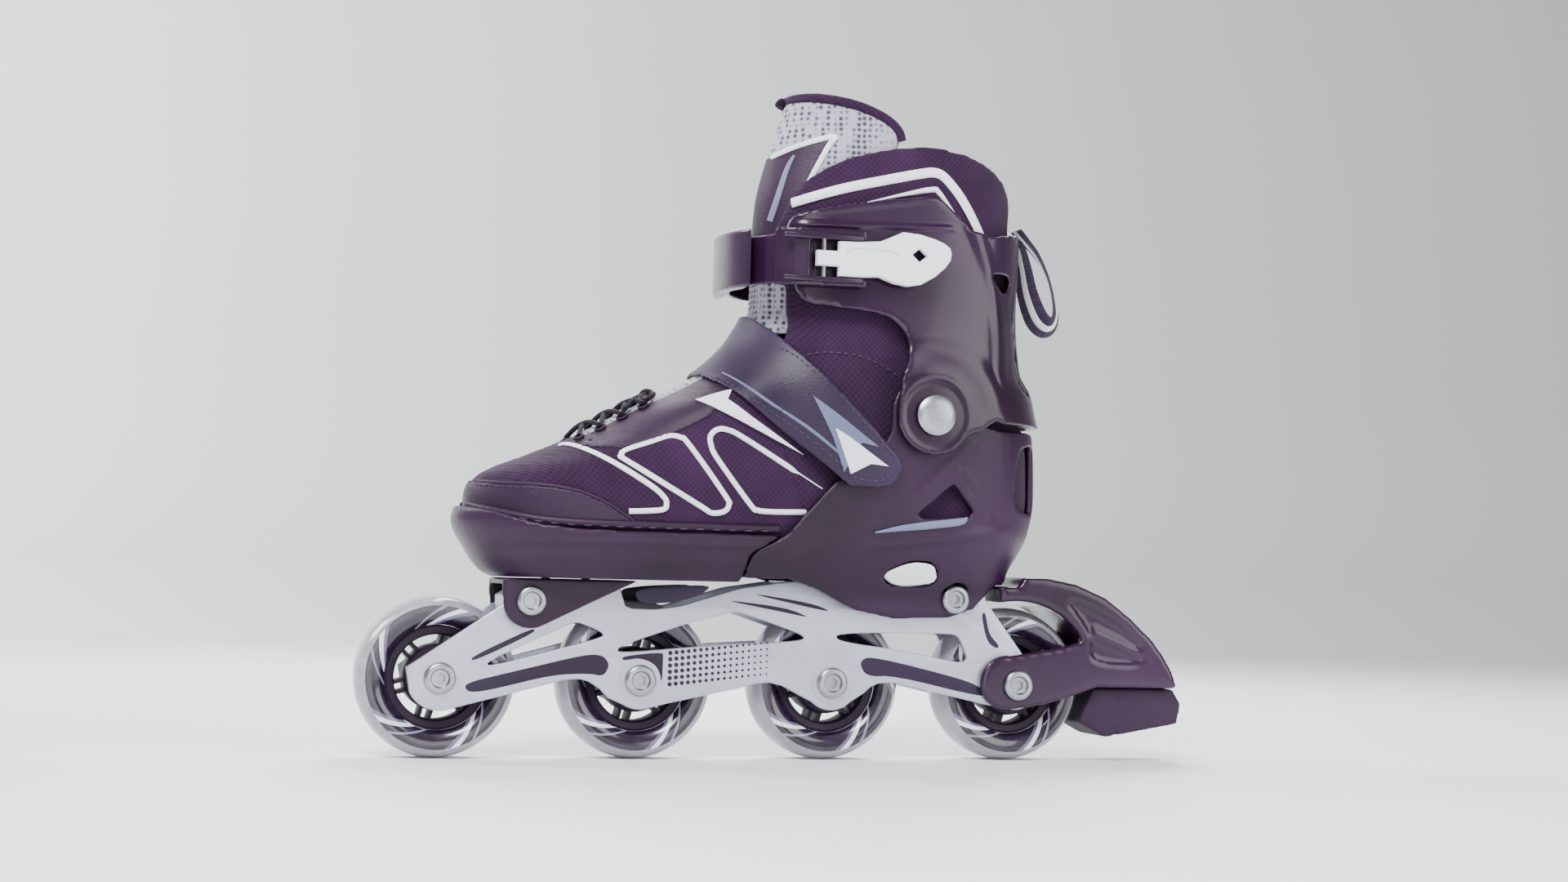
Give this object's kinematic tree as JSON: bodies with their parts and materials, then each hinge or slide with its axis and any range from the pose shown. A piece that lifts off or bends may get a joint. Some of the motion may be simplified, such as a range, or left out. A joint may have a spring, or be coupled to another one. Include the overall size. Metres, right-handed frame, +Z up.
{
  "type": "inline skate",
  "caption": "Inline skate with a row of wheels in an aluminium frame, a plastic shell that adjusts in length, a padded textile boot, a hinged cuff with a ratchet buckle and a heel brake.",
  "frame": {"origin": "on the ground under the centre of the skate's box, midway between its sides", "axes": "+X towards the heel and the brake, +Y towards the inner side of the foot, +Z up; it is a left skate"},
  "size_m": [0.382, 0.0972, 0.299],
  "materials": {
    "shell_plastic": "fine-textured moulded plastic, dark aubergine",
    "white_plastic": "smooth moulded plastic",
    "frame_aluminium": "pale satin, lightly bead-blasted",
    "steel": "turned steel",
    "urethane": "clear cast urethane over a dark core",
    "hub_plastic": "moulded plastic, dark aubergine",
    "brake_rubber": "matt rubber",
    "boot_fabric": "padded woven textile, dark aubergine",
    "grey_mesh_cloth": "light grey spacer mesh",
    "lining": "brushed lining",
    "lace_cord": "round braided cord",
    "strap_synthetic": "coated synthetic",
    "webbing": "woven tape"
  },
  "bodies": {
    "chassis": {"frame_rail_outer": "frame_aluminium", "frame_rail_inner": "frame_aluminium", "frame_bridge_front": "frame_aluminium", "frame_bridge_rear": "frame_aluminium", "front_mount_bolt": "steel", "rear_mount_bolt": "steel", "axle_1": "steel", "axle_2": "steel", "axle_3": "steel", "axle_4": "steel", "sole_stud_front": "steel", "sole_stud_rear": "steel", "button_leaf_spring": "steel", "brake_arm": "shell_plastic", "front_mount": "shell_plastic", "heel_shell": "shell_plastic", "sole_plate": "shell_plastic", "brake_pad": "brake_rubber", "insole": "lining", "boot_quarter": "boot_fabric", "boot_ankle": "boot_fabric", "tongue_lower": "grey_mesh_cloth", "laces": "lace_cord", "instep_strap": "strap_synthetic", "wheel_1_spacer": "steel", "wheel_2_spacer": "steel", "wheel_3_spacer": "steel", "wheel_4_spacer": "steel"},
    "toe": {"toe_shell": "shell_plastic", "boot_toe_box": "boot_fabric"},
    "cuff": {"cuff": "shell_plastic", "cuff_rivet_outer": "steel", "cuff_rivet_inner": "steel", "boot_collar": "boot_fabric", "tongue_upper": "grey_mesh_cloth", "pull_loop": "webbing", "ladder_strap": "shell_plastic", "strap_rivet": "steel", "buckle_base": "shell_plastic", "buckle_pin": "steel"},
    "lever": {"buckle_lever": "white_plastic"},
    "button": {"size_button": "white_plastic"},
    "wheel_1": {"wheel_1_tyre": "urethane", "wheel_1_hub": "hub_plastic", "wheel_1_bearing_outer": "steel", "wheel_1_bearing_inner": "steel"},
    "wheel_2": {"wheel_2_tyre": "urethane", "wheel_2_hub": "hub_plastic", "wheel_2_bearing_outer": "steel", "wheel_2_bearing_inner": "steel"},
    "wheel_3": {"wheel_3_tyre": "urethane", "wheel_3_hub": "hub_plastic", "wheel_3_bearing_outer": "steel", "wheel_3_bearing_inner": "steel"},
    "wheel_4": {"wheel_4_tyre": "urethane", "wheel_4_hub": "hub_plastic", "wheel_4_bearing_outer": "steel", "wheel_4_bearing_inner": "steel"}
  },
  "joints": [
    {"name": "wheel_1_spin", "type": "hinge", "parent": "chassis", "child": "wheel_1", "pos_m": [-0.15602, 0, 0.035], "axis": [0, 1, 0], "continuous": true},
    {"name": "wheel_2_spin", "type": "hinge", "parent": "chassis", "child": "wheel_2", "pos_m": [-0.06832, 0, 0.035], "axis": [0, 1, 0], "continuous": true},
    {"name": "wheel_3_spin", "type": "hinge", "parent": "chassis", "child": "wheel_3", "pos_m": [0.01937, 0, 0.035], "axis": [0, 1, 0], "continuous": true},
    {"name": "wheel_4_spin", "type": "hinge", "parent": "chassis", "child": "wheel_4", "pos_m": [0.10708, 0, 0.035], "axis": [0, 1, 0], "continuous": true},
    {"name": "cuff_flex", "type": "hinge", "parent": "chassis", "child": "cuff", "pos_m": [0.05622, 0, 0.155], "axis": [0, -1, 0], "range_deg": [0, 12]},
    {"name": "buckle_lever", "type": "hinge", "parent": "cuff", "child": "lever", "pos_m": [0.00252, -0.0456, 0.222], "axis": [0, 0, -1], "range_deg": [0, 105]},
    {"name": "toe_length", "type": "slide", "parent": "chassis", "child": "toe", "axis": [-1, 0, 0], "range_m": [0, 0.02]},
    {"name": "size_button_press", "type": "slide", "parent": "chassis", "child": "button", "axis": [0, 1, 0], "range_m": [0, 0.003], "stiffness_N_per_m": 600}
  ]
}
